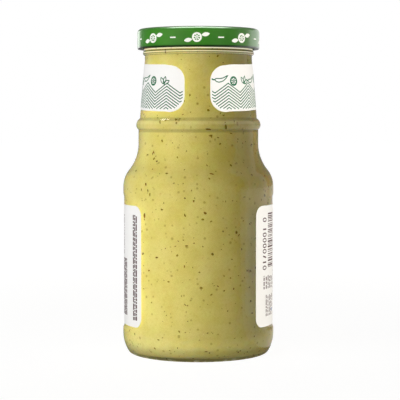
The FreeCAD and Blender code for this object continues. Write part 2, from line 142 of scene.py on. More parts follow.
# labels
BODY_LABEL_RIGHT = 48.8
BODY_LABEL_LEFT = 311.6
BODY_LABEL_CORNER = 4.8
NECK_LABEL_BOTTOM = COLLAR_TOP + 4.5
NECK_LABEL_TOP = NECK_TAPER_TOP - 1.9
NECK_LABEL_TURN = 0.9
NECK_LABEL_HALF_GAP = NECK_BOTTOM_RADIUS * sin(radians(12.3))
NECK_LABEL_CORNER = 7.4
NECK_LABEL_DROOP = 1.4
LABEL_SINK = -0.02
CORNER_STEPS = 16
NECK_PRINT_MARGIN = 1.1
PRINT_STEP = 0.015
PRINT_LINE = 0.48
ZIGZAG_PITCH = 15.0
ZIGZAG_HEIGHT = 4.6
ZIGZAG_SPACING = 1.45
ZIGZAG_ROWS = 9
ZIGZAG_START = -2.6
NECK_MOTIF_PITCH = 7.6
NECK_MOTIF_LEVELS = (15.3, 14.6)
NECK_CHILLI = 7.4
MITRE_LIMIT = 0.4
DASH_LENGTHS = (0.7, 3.4)
DASH_GAP = 0.45
GLYPH_REACH = 1.7
FRONT_MIDDLE = 45.5
LID_PRINTS = 8
LID_PRINT_TURN = -1.3
# salsa
INTO_GLASS = 0.3
SALSA_EDGE = 0.8
SALSA_SAG = 0.25
SALSA_RIPPLE = 0.35
SALSA_RING = 2.2
SALSA_MIDDLE = 3.0
FLECK_SINK = -0.03
FLECK_FOOT = -0.2
FLECK_SLOPE = 0.7
FLECK_RISE = 0.1
BEHIND_LABEL = 1.0
BEHIND_LABEL_ANGLE = 3.0
NECK_WINDOW = 17.0


# ---- Outlines: lists of (distance from the axis, height)
ARC_STEP = 3.0
RUN_STEP = 4.0
SOFT_STEPS = 8


def line_to(points, radius, height, soft=False):
    """Continue an outline straight to a point, or softly to another level, flat at both ends."""
    from_radius, from_height = points[-1]
    length = hypot(radius - from_radius, height - from_height)
    count = SOFT_STEPS if soft else max(1, ceil(length / RUN_STEP))
    for step in range(1, count + 1):
        share = step / count
        rise = share * share * (3 - 2 * share) if soft else share
        points.append((from_radius + (radius - from_radius) * share,
                       from_height + (height - from_height) * rise))


def arc_to(points, radius, height, turn, left=True):
    """Continue an outline to a point along an arc of radius turn that bends left or right."""
    start, end = Vector(points[-1]), Vector((radius, height))
    chord = end - start
    rise = sqrt(max(turn ** 2 - chord.length_squared / 4, 0.0))
    side = 1 if left else -1
    inward = Vector((-chord.y, chord.x)).normalized() * side
    centre = (start + end) / 2 + inward * rise
    first = atan2(start.y - centre.y, start.x - centre.x)
    sweep = 2 * asin(min(1.0, chord.length / (2 * turn))) * side
    count = max(2, ceil(abs(degrees(sweep)) / ARC_STEP))
    for step in range(1, count + 1):
        angle = first + sweep * step / count
        points.append((centre.x + turn * cos(angle), centre.y + turn * sin(angle)))


def trace(points, *stops):
    """Continue an outline through stops: straight to a pair (radius, height), and along an arc that
    bends left to a pair followed by the arc's own radius."""
    for stop in stops:
        (arc_to if len(stop) > 2 else line_to)(points, *stop)


def wave_to(points, radius, height, share=0.5, left_first=True):
    """Continue an outline to a point with two arcs that meet tangent to each other. Both ends are
    upright, and share is the first arc's part of the two radii."""
    from_radius, from_height = points[-1]
    reach, rise = radius - from_radius, height - from_height
    turns = (reach ** 2 + rise ** 2) / (2 * abs(reach))
    middle = (from_radius + reach * share, from_height + rise * share)
    arc_to(points, *middle, turns * share, left_first)
    arc_to(points, radius, height, turns * (1 - share), not left_first)


def foot_outline():
    """From the middle of the underside over the ring that the jar stands on, up the heel."""
    sweep = radians(HEEL_SWEEP_ANGLE)
    dome = radians(PUSH_UP_ANGLE)
    heel_radius = BODY_RADIUS - HEEL_SWEEP * (1 - cos(sweep))
    heel_height = HEEL_TURN * (1 - sin(sweep))
    foot_outer = heel_radius - HEEL_TURN * cos(sweep)
    foot_inner = foot_outer - FOOT_RING_WIDTH
    dome_edge = foot_inner - FOOT_INNER_TURN * sin(dome)
    dome_edge_height = FOOT_INNER_TURN * (1 - cos(dome))
    dome_sphere = dome_edge / sin(dome)

    points = [(0.0, dome_edge_height + dome_sphere * (1 - cos(dome)))]
    arc_to(points, dome_edge, dome_edge_height, dome_sphere, left=False)
    arc_to(points, foot_inner, 0.0, FOOT_INNER_TURN)
    for share in (0.25, 0.5, 0.75, 1.0):
        points.append((foot_inner + FOOT_RING_WIDTH * share, 0.0))
    trace(points, (heel_radius, heel_height, HEEL_TURN),
          (BODY_RADIUS, heel_height + HEEL_SWEEP * sin(sweep), HEEL_SWEEP))
    return points


def glass_outline():
    """From the middle of the underside round the outside, over the lip and down inside to the middle
    of the cavity's floor."""
    collar_radius = BAND_RADIUS + COLLAR_REACH
    reach_above = collar_radius - NECK_BOTTOM_RADIUS
    bead_turn = BEAD_ROUND + (BEAD_RADIUS - NECK_TOP_RADIUS) / 4
    bore = NECK_TOP_RADIUS - GLASS_WALL
    points = foot_outline()
    line_to(points, BODY_RADIUS, PANEL_BOTTOM - PANEL_STEP)
    wave_to(points, PANEL_RADIUS, PANEL_BOTTOM)
    line_to(points, PANEL_RADIUS, PANEL_TOP)
    wave_to(points, LAND_RADIUS, PANEL_TOP + PANEL_STEP, left_first=False)
    shoulder_to(points, BAND_RADIUS, SHOULDER_ROUND, SHOULDER_HOLLOW)
    trace(points,
          (BAND_RADIUS, COLLAR_TOP - COLLAR_RISE - COLLAR_DROP),
          (collar_radius, COLLAR_TOP - COLLAR_RISE,
           (COLLAR_DROP ** 2 + COLLAR_REACH ** 2) / (2 * COLLAR_REACH)),
          (NECK_BOTTOM_RADIUS, COLLAR_TOP, (COLLAR_RISE ** 2 + reach_above ** 2) / (2 * reach_above)),
          (NECK_TOP_RADIUS, NECK_TAPER_TOP), (NECK_TOP_RADIUS, BEAD_BOTTOM),
          (BEAD_RADIUS, BEAD_BOTTOM + BEAD_ROUND, bead_turn), (BEAD_RADIUS, BEAD_TOP - BEAD_ROUND),
          (FINISH_RADIUS, BEAD_TOP, bead_turn))
    points += [(FINISH_RADIUS, height) for height in THREAD_ROWS]
    trace(points,
          (FINISH_RADIUS, LIP_HEIGHT - LIP_ROUND), (FINISH_RADIUS - LIP_ROUND, LIP_HEIGHT, LIP_ROUND),
          (bore + LIP_ROUND, LIP_HEIGHT), (bore, LIP_HEIGHT - LIP_ROUND, LIP_ROUND),
          (bore, NECK_TAPER_TOP))
    return points + filled_wall(0.0)[::-1][1:]


def shoulder_to(points, radius, round_turn, hollow_turn):
    """Continue an outline up a waisted shoulder, a round arc and then a hollow one."""
    wide = points[-1][0]
    turns = round_turn + hollow_turn
    reach = wide - radius
    rise = sqrt(reach * (2 * turns - reach))
    line_to(points, wide, SHOULDER_TOP - rise)
    wave_to(points, radius, SHOULDER_TOP, share=round_turn / turns)


def filled_wall(outwards):
    """From the middle of the cavity's floor up its wall to the bore, moved outwards into the glass
    by the distance given."""
    slope = radians(FLOOR_ANGLE)
    turn = INNER_HEEL_TURN + outwards
    edge = SALSA_RADIUS - INNER_HEEL_TURN * (1 + sin(slope))
    edge_height = BASE_GLASS + INNER_HEEL_TURN * (1 - cos(slope))
    sphere = edge / sin(slope) - outwards
    edge -= outwards * sin(slope)
    edge_height -= outwards * cos(slope)
    points = [(0.0, edge_height + sphere * (1 - cos(slope)))]
    arc_to(points, edge, edge_height, sphere, left=False)
    arc_to(points, SALSA_RADIUS + outwards, BASE_GLASS + INNER_HEEL_TURN, turn)
    shoulder_to(points, BAND_RADIUS - GLASS_WALL + outwards,
                SHOULDER_ROUND - GLASS_WALL + outwards, SHOULDER_HOLLOW + GLASS_WALL - outwards)
    trace(points, (BAND_RADIUS - GLASS_WALL + outwards, COLLAR_TOP - COLLAR_RISE - COLLAR_DROP),
          (NECK_BOTTOM_RADIUS - GLASS_WALL + outwards, COLLAR_TOP),
          (NECK_TOP_RADIUS - GLASS_WALL + outwards, NECK_TAPER_TOP))
    return points


def lid_outline():
    """From the middle of the underside out to the rolled hem, and back over the outside."""
    sunk = LID_TOP - LID_PANEL_DROP
    button = sunk - BUTTON_DROP
    ring_inner = LID_RADIUS - LID_RING_WIDTH
    sunk_radius = ring_inner - LID_PANEL_SLOPE
    skirt_inner = LID_RADIUS - LID_SHEET
    hem_inner = LID_RADIUS - 2 * HEM_TURN
    corner_height = LID_TOP - LID_CORNER
    top = [(0.0, button), (BUTTON_FLAT, button)]
    line_to(top, BUTTON_RADIUS, sunk, soft=True)
    line_to(top, sunk_radius - LID_PANEL_EASE, sunk)
    line_to(top, ring_inner + LID_PANEL_EASE, LID_TOP, soft=True)
    line_to(top, LID_RADIUS - LID_CORNER, LID_TOP)

    points = [(radius, height - LID_SHEET) for radius, height in top]
    arc_to(points, skirt_inner, corner_height, LID_CORNER - LID_SHEET, left=False)
    trace(points, (skirt_inner, LID_BOTTOM + HEM_HEIGHT),
          (hem_inner, LID_BOTTOM + HEM_HEIGHT - HEM_TURN), (hem_inner, LID_BOTTOM + HEM_TURN),
          (hem_inner + HEM_TURN, LID_BOTTOM, HEM_TURN), (LID_RADIUS, LID_BOTTOM + HEM_TURN, HEM_TURN),
          (LID_RADIUS, corner_height), (LID_RADIUS - LID_CORNER, LID_TOP, LID_CORNER))
    return points + top[::-1][1:]


# ---- Meshes
def spot(angle, height, radius):
    """The point in metres at an angle in degrees round the axis, from -Y towards +X."""
    turn = radians(angle)
    return Vector((sin(turn) * radius, -cos(turn) * radius, height)) * MM


def add_object(name, data):
    made = bpy.data.objects.new(name, data)
    bpy.context.scene.collection.objects.link(made)
    return made


def piece_from(name, mesh_data, finish, sharp_angle=40.0):
    """A piece that rides with the jar, from bmesh data, smooth except at its sharp edges."""
    mesh = bpy.data.meshes.new(name)
    bmesh.ops.recalc_face_normals(mesh_data, faces=mesh_data.faces)
    mesh_data.to_mesh(mesh)
    mesh_data.free()
    mesh.materials.append(finish)
    mesh.shade_smooth()
    mesh.set_sharp_from_angle(angle=radians(sharp_angle))
    piece = add_object(name, mesh)
    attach(piece, "root")
    return piece


def bridge(mesh_data, lower, upper, count):
    """Faces between two rings of count corners. A ring of one corner is a tip."""
    for column in range(count):
        following = (column + 1) % count
        corners = [lower[column % len(lower)], lower[following % len(lower)],
                   upper[following % len(upper)], upper[column % len(upper)]]
        mesh_data.faces.new(list(dict.fromkeys(corners)))


def turned(outline, columns, reshape=None):
    """Bmesh data of an outline turned about the axis. It starts and ends on the axis."""
    mesh_data = bmesh.new()
    rings = []
    for radius, height in outline:
        if radius < HAIR:
            rings.append([mesh_data.verts.new(spot(0, height, 0))])
            continue
        ring = []
        for column in range(columns):
            angle = 360.0 * column / columns
            place = reshape(angle, height, radius) if reshape else (height, radius)
            ring.append(mesh_data.verts.new(spot(angle, *place)))
        rings.append(ring)
    for lower, upper in zip(rings, rings[1:]):
        bridge(mesh_data, lower, upper, columns)
    return mesh_data


# ---- Finishes
class Finish:
    """A material or a world, with short calls for the nodes that this file uses."""

    def __init__(self, name=None, tree=None, output="OutputMaterial"):
        self.material = bpy.data.materials.new(name) if name else None
        if self.material:
            self.material.use_nodes = True
        self.tree = tree or self.material.node_tree
        self.tree.nodes.clear()
        self.output = self.node(output)
        self.place = self.node("TexCoord").outputs["Object"]

    def node(self, kind, inputs=(), **settings):
        made = self.tree.nodes.new("ShaderNode" + kind)
        for name, value in settings.items():
            setattr(made, name, value)
        for name, value in dict(inputs).items():
            if isinstance(value, bpy.types.NodeSocket):
                self.tree.links.new(value, made.inputs[name])
            else:
                made.inputs[name].default_value = value
        return made

    def first(self, kind, *inputs, **settings):
        """The first output of a new node, whose inputs are given in their order."""
        return self.node(kind, dict(enumerate(inputs)), **settings).outputs[0]

    def math(self, operation, *values):
        return self.first("Math", *values, operation=operation)

    def coordinate(self, axis, vector=None):
        """One coordinate of a vector, or else of the place on the piece."""
        vector = self.place if vector is None else vector
        return self.node("SeparateXYZ", {0: vector}).outputs[axis]

    def ray(self, question):
        return self.node("LightPath").outputs[question]

    def fade(self, value, low, high, to_low=0.0, to_high=1.0, spread="SMOOTHSTEP"):
        """A value's stretch from low to high, spread over another stretch, smoothly or LINEAR."""
        return self.first("MapRange", value, low, high, to_low, to_high, interpolation_type=spread)

    def grain(self, per_metre, detail, *stretch):
        """Soft noise from 0 to 1, with features about 1 / per_metre wide, or a stretch of it as in
        fade."""
        soft = self.node("TexNoise", {
            "Vector": self.place, "Scale": per_metre, "Detail": detail}).outputs["Fac"]
        return self.fade(soft, *stretch) if stretch else soft

    def blend(self, factor, first, second):
        """The colour at a share of the way from the first to the second."""
        return self.node("Mix", {0: factor, 6: first, 7: second}, data_type="RGBA").outputs[2]

    def bump(self, height, strength, distance):
        return self.node("Bump", {
            "Height": height, "Strength": strength, "Distance": distance}).outputs["Normal"]

    def surface(self, **inputs):
        """A Principled shader; its inputs' names have underscores for spaces."""
        named = {name.replace("_", " "): value for name, value in inputs.items()}
        return self.node("BsdfPrincipled", named).outputs[0]

    def finish(self, shader=None, **inputs):
        """The material with a shader, or else with a Principled one of these inputs."""
        self.tree.links.new(shader or self.surface(**inputs), self.output.inputs["Surface"])
        return self.material


def rgb(red, green, blue):
    """A colour given as it looks on screen, from 0 to 255, in linear light."""
    def linear(value):
        value /= 255
        return value / 12.92 if value <= 0.04045 else ((value + 0.055) / 1.055) ** 2.4
    return (linear(red), linear(green), linear(blue), 1.0)


def clear_glass():
    """Flint glass, a little wavy, with painted shade in its creases and foot, thin painted highlights
    that glow, and pale streaks of painted reflection that glow in the foot. Lamps shine through it onto
    the salsa, less where it lies nearly level."""
    made = Finish("clear_glass")
    waves = made.bump(made.grain(55, 1.0), 0.12, 0.0004)
    height = made.coordinate("Z")

    def line(middle, half, strength):
        off = made.math("ABSOLUTE", made.math("SUBTRACT", height, middle * MM))
        return made.fade(off, half * 0.4 * MM, half * 1.3 * MM, strength, 0.0)

    # painted shade: the glass's colour darkens in a band at the foot and along the lines of painted
    # shade
    dark = made.fade(height, (PAINTED_FOOT_BAND - 0.8) * MM, PAINTED_FOOT_BAND * MM, 0.52, 0.0)
    for crease in PAINTED_SHADE_LINES:
        dark = made.math("MAXIMUM", dark, line(*crease))
    # painted reflection: pale streaks that glow in the foot, and with them the lines of painted
    # highlight, which glow too
    streaks = made.grain(330, 3.0, 0.48, 0.66, 0.0, 0.2)
    foot = made.fade(height, 0.3 * MM, (PAINTED_FOOT_BAND - 0.4) * MM, 1.0, 0.0)
    bright = made.math("MULTIPLY", streaks, foot)
    for light in PAINTED_HIGHLIGHT_LINES:
        bright = made.math("MAXIMUM", bright, line(*light))
    glass = made.surface(
        Base_Color=made.blend(dark, (0.985, 0.995, 0.985, 1), (0.012, 0.012, 0.008, 1)),
        Roughness=0.0, IOR=1.51, Transmission_Weight=1.0, Normal=waves,
        Emission_Color=(1.0, 0.96, 0.84, 1), Emission_Strength=bright)
    upwards = made.coordinate("Z", made.node("NewGeometry").outputs["Normal"])
    level = made.fade(made.math("ABSOLUTE", upwards), 0.64, 0.82)
    through = made.blend(level, (0.96, 0.965, 0.95, 1), (0.22, 0.2, 0.14, 1))
    lit = made.first("BsdfTransparent", through)
    return made.finish(made.first("MixShader", made.ray("Is Shadow Ray"), glass, lit))


def green_salsa():
    """Creamy green salsa: soft mottling, fine pulp and the blurred dots of what lies under it."""
    made = Finish("green_salsa")
    cream, pulp, olive = rgb(236, 230, 160), rgb(229, 222, 145), rgb(164, 148, 68)
    ground = made.blend(made.grain(90, 3.0, 0.35, 0.65), cream, pulp)
    ground = made.blend(made.grain(850, 3.0, 0.45, 0.8, 0.0, 0.25), ground, rgb(204, 190, 98))
    for scale, size, depth in ((330, 0.24, 0.52), (190, 0.15, 0.62)):
        cell = made.node("TexVoronoi", {"Vector": made.place, "Scale": scale})
        chance = made.node("SeparateColor", {"Color": cell.outputs["Color"]}).outputs[0]
        reach = made.fade(chance, 0.35, 1.0, 0.0, size)
        closeness = made.math("SUBTRACT", reach, cell.outputs["Distance"])
        dots = made.fade(closeness, -0.04, 0.10, 0.0, depth)
        ground = made.blend(dots, ground, olive)
    return made.finish(
        Base_Color=ground, Roughness=0.5, IOR=1.38, Specular_IOR_Level=0.05,
        Subsurface_Weight=1.0, Subsurface_Radius=(1.0, 0.72, 0.22), Subsurface_Scale=0.004)


def enamel():
    """Glossy green enamel on a steel lid, with a faint orange peel, and painted shade on its rolled
    hem.
    """
    made = Finish("green_enamel")
    colour = made.blend(made.grain(140, 2.0, 0.3, 0.7), rgb(54, 132, 34), rgb(62, 140, 38))
    height = made.coordinate("Z")
    # painted shade: the enamel darkens over the rolled hem, towards the lid's lower edge
    hem = made.fade(height, (LID_BOTTOM + 0.5) * MM, (LID_BOTTOM + 1.5) * MM)
    colour = made.blend(hem, rgb(14, 44, 8), colour)
    peel = made.bump(made.grain(900, 1.0), 0.05, 0.0003)
    return made.finish(
        Base_Color=colour, Roughness=0.3, Specular_IOR_Level=0.6, Coat_Weight=0.35,
        Coat_Roughness=0.2, Normal=peel)


def label_paper():
    """White coated paper with a faint tooth."""
    made = Finish("label_paper")
    colour = made.blend(made.grain(500, 4.0), (0.84, 0.84, 0.835, 1), (0.88, 0.88, 0.875, 1))
    tooth = made.bump(made.grain(3200, 3.0), 0.08, 0.0001)
    return made.finish(
        Base_Color=colour, Roughness=0.42, Specular_IOR_Level=0.4, Normal=tooth)


def mottled(name, per_metre, light, dark, contrast=(), **looks):
    """A finish that varies softly between two tones."""
    made = Finish(name)
    share = made.grain(per_metre, 3.0, *contrast)
    return made.finish(Base_Color=made.blend(share, rgb(*light), rgb(*dark)), **looks)


def ink(name, colour, deeper):
    """Printing ink, slightly uneven in tone."""
    return mottled(name, 1500, colour, deeper, Roughness=0.4, Specular_IOR_Level=0.4)


def fleck(name, light, dark):
    """Herb, pepper or seed: mottled, and different from one bit to the next."""
    return mottled(name, 420, light, dark, (0.35, 0.65), Roughness=0.5, Specular_IOR_Level=0.1,
                   Subsurface_Weight=0.2, Subsurface_Radius=(1.0, 0.8, 0.3), Subsurface_Scale=0.001)


# ---- Glass, salsa and lid
GLASS_COLUMNS, SALSA_COLUMNS, LID_COLUMNS = 360, 240, 300
GRIP_BARS = 72
GRIP_DEPTH = 0.14
SEAM_RISE = 0.05
SEAM_WIDTH = 1.2
SEAM_BOTTOM = 2.0


def shape_glass(angle, height, radius):
    """The threads, the mould's two seams and the short bars on the ring that the jar stands on."""
    if THREAD_BOTTOM < height < THREAD_TOP and radius > NECK_TOP_RADIUS:
        pitch = 360.0 / THREAD_COUNT
        off_middle = abs((angle + 90.0 + pitch / 2) % pitch - pitch / 2)
        end = min(1.0, max(0.0, (THREAD_ANGLE / 2 - off_middle) / THREAD_RUN_OUT))
        radius += (THREAD_RADIUS - FINISH_RADIUS) * end ** 0.5
    elif height < HAIR:
        height += GRIP_DEPTH * (0.5 - 0.5 * cos(radians(angle * GRIP_BARS)))
    elif radius > NECK_TOP_RADIUS - HAIR and height > SEAM_BOTTOM:
        off_seam = abs(angle % 180.0 - 90.0)
        seam = max(0.0, 1.0 - off_seam / SEAM_WIDTH)
        radius += min(SEAM_RISE, BODY_RADIUS - radius) * seam
    return height, radius


def make_glass():
    mesh_data = turned(glass_outline(), GLASS_COLUMNS, shape_glass)
    glass = piece_from("glass", mesh_data, clear_glass())
    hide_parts("glass_jar")
    return glass


def make_salsa():
    """The salsa reaches a little into the glass, so that no air shows between the two."""
    outline = filled_wall(INTO_GLASS)
    bore = outline[-1][0]
    line_to(outline, bore, FILL_HEIGHT - SALSA_EDGE)
    skin = Skin(outline[:])
    arc_to(outline, bore - SALSA_EDGE, FILL_HEIGHT, SALSA_EDGE)
    while outline[-1][0] > SALSA_MIDDLE:
        outline.append((outline[-1][0] - SALSA_RING, FILL_HEIGHT))
    outline.append((0.0, FILL_HEIGHT))

    def uneven_top(angle, height, radius):
        if height > FILL_HEIGHT - 0.01:
            bumps = noise.noise(Vector((radius * cos(radians(angle)),
                                        radius * sin(radians(angle)), 0.0)) * SALSA_RIPPLE)
            height -= SALSA_SAG + SALSA_SAG * bumps
        return height, radius

    salsa = piece_from("salsa_fill", turned(outline, SALSA_COLUMNS, uneven_top), green_salsa(),
                       sharp_angle=80.0)
    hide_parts("salsa")
    return salsa, skin


def make_lid(finish):
    mesh_data = turned(lid_outline(), LID_COLUMNS)
    for number in range(THREAD_COUNT):
        add_lug(mesh_data, 360.0 / THREAD_COUNT * number + 90.0)
    lid = piece_from("twist_lid", mesh_data, finish, sharp_angle=50.0)
    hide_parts("lid")
    return lid


def add_lug(mesh_data, middle, columns=12):
    """One lug, from inside the hem inwards under a thread of the glass."""
    sections = []
    for column in range(columns + 1):
        angle = middle + LUG_ANGLE * (column / columns - 0.5)
        tip = LUG_INNER + LUG_ROUND * (abs(2 * column / columns - 1) ** 6)
        sections.append([mesh_data.verts.new(spot(angle, height, radius)) for radius, height in (
            (LID_RADIUS - HEM_TURN, LUG_BOTTOM), (tip, LUG_BOTTOM),
            (tip, LUG_TOP), (LID_RADIUS - HEM_TURN, LUG_TOP))])
    for here, there in zip(sections, sections[1:]):
        bridge(mesh_data, here, there, 4)
    mesh_data.faces.new(sections[0])
    mesh_data.faces.new(sections[-1][::-1])


# ---- Labels: flat shapes in (along, up), cut into upright strips, thickened and wrapped on the glass
STRIP = 1.2


class Wall:
    """A wall of the jar to wrap flat shapes on: along runs to the right as seen from outside."""

    def __init__(self, middle, radius, slope=0.0, base=0.0):
        self.middle, self.radius, self.slope, self.base = middle, radius, slope, base

    def out(self, up):
        return self.radius - self.slope * (up - self.base)

    def place(self, along, up, lift):
        angle = self.middle + degrees(along / self.radius)
        return spot(angle, up, self.out(up) + lift)

    def along(self, angle):
        """How far along the wall an angle round the axis lies."""
        return radians(angle - self.middle) * self.radius


def layer(patches, wall, low, high):
    """Bmesh data of flat patches as closed layers from low to high above the wall."""
    flat = bmesh.new()
    for points, faces in patches:
        corners = [flat.verts.new((along, up, 0.0)) for along, up in points]
        for face in faces:
            flat.faces.new([corners[index] for index in face])
    bmesh.ops.triangulate(flat, faces=flat.faces)
    start = min(vert.co.x for vert in flat.verts)
    end = max(vert.co.x for vert in flat.verts)
    for cut in range(floor(start / STRIP) + 1, ceil(end / STRIP)):
        bmesh.ops.bisect_plane(
            flat, geom=flat.verts[:] + flat.edges[:] + flat.faces[:], dist=1e-4,
            plane_co=(cut * STRIP, 0, 0), plane_no=(1, 0, 0))
    made = bmesh.new()
    lower, upper = ({vert: made.verts.new(wall.place(vert.co.x, vert.co.y, lift))
                     for vert in flat.verts} for lift in (low, high))
    for face in flat.faces:
        corners = face.verts[:]
        made.faces.new([upper[vert] for vert in corners])
        made.faces.new([lower[vert] for vert in reversed(corners)])
    for edge in flat.edges:
        if edge.is_boundary:
            here, there = edge.verts
            made.faces.new([lower[here], lower[there], upper[there], upper[here]])
    flat.free()
    return made


# A patch is flat: a list of points (along, up), and its faces as lists of their indices.
def filled(points):
    return points, [range(len(points))]


def stroke(points, width, closed=False):
    """A line of even width along points."""
    count = len(points)
    sides = []
    for index, point in enumerate(points):
        before = points[index - 1] if index or closed else point
        after = points[(index + 1) % count] if index < count - 1 or closed else point
        onwards = (Vector(after) - Vector(before)).normalized()
        leg = Vector(after) - Vector(point) if after != point else onwards
        aside = Vector((-onwards.y, onwards.x))
        square = abs(aside.dot(Vector((-leg.y, leg.x)).normalized()))
        aside *= width / 2 / max(square, MITRE_LIMIT)
        sides += [(point[0] + aside.x, point[1] + aside.y), (point[0] - aside.x, point[1] - aside.y)]
    faces = [(2 * index, 2 * index + 1, 2 * index + 3, 2 * index + 2) for index in range(count - 1)]
    if closed:
        faces.append((2 * count - 2, 2 * count - 1, 1, 0))
    return sides, faces


def moved(points, along, up, turn=0.0):
    """Points turned by an angle in degrees about the origin and then moved."""
    cosine, sine = cos(radians(turn)), sin(radians(turn))
    return [(along + x * cosine - y * sine, up + x * sine + y * cosine) for x, y in points]


def circle(radius, count=28, flatten=1.0):
    return [(radius * cos(2 * pi * step / count),
             radius * flatten * sin(2 * pi * step / count)) for step in range(count)]


def chilli(length, bend=0.14, stout=0.15, steps=14):
    """A pepper's outline, lying along x from its stalk end, bent upwards."""
    upper, lower = [], []
    for step in range(steps + 1):
        share = step / steps
        half = stout * length * (1 - share) ** 0.6 * (1 - (1 - share) ** 8) ** 0.5
        middle = -4 * bend * length * share * (1 - share)
        upper.append((length * share, middle + half))
        lower.append((length * share, middle - half))
    return lower + upper[::-1][1:-1]


def stalk(length):
    """The line of a pepper's stalk."""
    return [(0.0, 0.0), (-0.12 * length, 0.05 * length), (-0.2 * length, 0.14 * length)]


def leaf(length, wide=0.22, steps=8):
    """A pointed leaf's outline, lying along x."""
    edge = [(length * step / steps, wide * length * sin(pi * step / steps) ** 0.8)
            for step in range(steps + 1)]
    return edge + [(x, -y) for x, y in edge[::-1][1:-1]]


def lime_wheel(along, up, radius, width):
    """A slice of lime in outline: its rim and the walls between its segments."""
    patches = [stroke(moved(circle(radius), along, up), width, closed=True),
               stroke(moved(circle(radius * 0.8), along, up), width * 0.7, closed=True)]
    for spoke in range(7):
        wall = [(radius * 0.12, 0.0), (radius * 0.74, 0.0)]
        patches.append(stroke(moved(wall, along, up, 360.0 / 7 * spoke + 10), width * 0.8))
    return patches


def dashes(start, end, first, last, pitch, thickness, upright=False):
    """Lines of plain dashes where small print would be. The lines run from start to end, and lie
    from first to last."""
    patches = []
    line = first
    while line + thickness <= last + HAIR:
        at, stop = start, end - (end - start) * random.choice((0.0, 0.0, 0.0, 0.08))
        while at < stop - 0.3:
            onwards = min(at + random.uniform(*DASH_LENGTHS), stop)
            corners = [(at, line), (onwards, line), (onwards, line + thickness), (at, line + thickness)]
            patches.append(filled([(y, x) for x, y in corners] if upright else corners))
            at = onwards + DASH_GAP
        line += pitch
    return patches


def glyphs(start, end, along):
    """An upright column of plain rings and bars, where a row of figures would be."""
    patches = []
    up = start + 1.0
    while up < end:
        if random.random() < 0.5:
            ring = circle(GLYPH_REACH, 16, 0.5)
            patches.append(stroke(moved(ring, along, up), 0.55, closed=True))
        else:
            bar = [(-GLYPH_REACH, 0.0), (GLYPH_REACH, 0.0)]
            patches.append(stroke(moved(bar, along, up, random.choice((-14, 0, 14))), 0.7))
        up += random.choice((2.7, 2.7, 2.7, 4.6))
    return patches


def rounded_box(left, right, bottom, top, corner, steps=8):
    """A rectangle with rounded corners."""
    points = []
    for across, up, first in ((right - corner, bottom + corner, -90), (right - corner, top - corner, 0),
                              (left + corner, top - corner, 90), (left + corner, bottom + corner, 180)):
        for step in range(steps + 1):
            angle = radians(first + 90.0 * step / steps)
            points.append((across + corner * cos(angle), up + corner * sin(angle)))
    return points


def label_piece(name, shape, wall, finish):
    """A sheet of paper on a wall, its back just inside the glass."""
    return piece_from(name, layer([filled(shape)], wall, LABEL_SINK, PAPER), finish)


def make_body_label(wall, finish):
    right, left = wall.along(BODY_LABEL_RIGHT), wall.along(BODY_LABEL_LEFT)
    shape = rounded_box(
        right, left, BODY_LABEL_BOTTOM, BODY_LABEL_TOP, BODY_LABEL_CORNER, CORNER_STEPS)
    label = label_piece("body_paper", shape, wall, finish)
    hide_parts("body_label")
    return label


def neck_label_shape(wall):
    """The neck label laid flat: edges that droop towards its gap, and its two rounded ends."""
    front = -NECK_LABEL_TURN
    sides = []
    for side in (1, -1):
        corner = []
        for level, first in ((NECK_LABEL_BOTTOM - NECK_LABEL_DROOP, -90),
                             (NECK_LABEL_TOP - NECK_LABEL_DROOP, 0)):
            middle = level + NECK_LABEL_CORNER * (1 if first else -1)
            for step in range(CORNER_STEPS + 1):
                angle = radians(first + 90.0 * step / CORNER_STEPS)
                across = NECK_LABEL_HALF_GAP + NECK_LABEL_CORNER * (1 - cos(angle))
                up = middle + NECK_LABEL_CORNER * sin(angle)
                turn = degrees(asin(across / wall.out(up)))
                corner.append((wall.along(front + (turn if side > 0 else 360 - turn)), up))
        sides.append(corner)
    right, left = sides

    def edge(level, start, end, count=60):
        reach = wall.out(level) / (NECK_BOTTOM_RADIUS + 1.0)
        points = []
        for step in range(1, count):
            along = start + (end - start) * step / count
            points.append((along, level + neck_droop(wall, along) * reach))
        return points

    top = edge(NECK_LABEL_TOP, right[-1][0], left[-1][0])
    bottom = edge(NECK_LABEL_BOTTOM, left[0][0], right[0][0])
    return right + top + left[::-1] + bottom


def make_neck_label(wall, finish):
    label = label_piece("neck_paper", neck_label_shape(wall), wall, finish)
    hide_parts("neck_label")
    return label


def printed(name, patches, wall, finish, level=1, under=PAPER):
    """Print on a wall. A higher level lies over a lower one."""
    return piece_from(name, layer(patches, wall, under - 0.01, under + PRINT_STEP * level), finish)


def neck_droop(wall, along):
    """How far the neck label sits above its level at the jar's sides."""
    facing = radians(wall.middle + NECK_LABEL_TURN + degrees(along / wall.radius))
    return -NECK_LABEL_DROOP * cos(facing)


def on_neck(wall, points):
    """Points given upwards from the neck label's lower edge, laid on the drooping label."""
    return [(along, up + NECK_LABEL_BOTTOM + neck_droop(wall, along)) for along, up in points]


def neck_zigzags(wall, end):
    """Nested zigzags, cut off at a margin within the label's rounded outline."""
    half = (NECK_LABEL_TOP - NECK_LABEL_BOTTOM) / 2
    corner = NECK_LABEL_CORNER - NECK_PRINT_MARGIN

    def inside(along, up):
        past = max(abs(along) - (end - NECK_PRINT_MARGIN - corner), 0.0)
        above = max(abs(up - half) - (half - NECK_PRINT_MARGIN - corner), 0.0)
        return hypot(past, above) < corner

    step = ZIGZAG_PITCH / 32
    count = ceil(end / step)
    patches = []
    for row in range(ZIGZAG_ROWS):
        runs = [[]]
        for index in range(-count, count + 1):
            along = index * step
            phase = abs((along / ZIGZAG_PITCH) % 1.0 - 0.5) * 2
            up = ZIGZAG_START + ZIGZAG_SPACING * row + ZIGZAG_HEIGHT * phase
            if inside(along, up):
                runs[-1].append((along, up))
            elif runs[-1]:
                runs.append([])
        patches += [stroke(on_neck(wall, run), PRINT_LINE) for run in runs if len(run) > 1]
    return patches


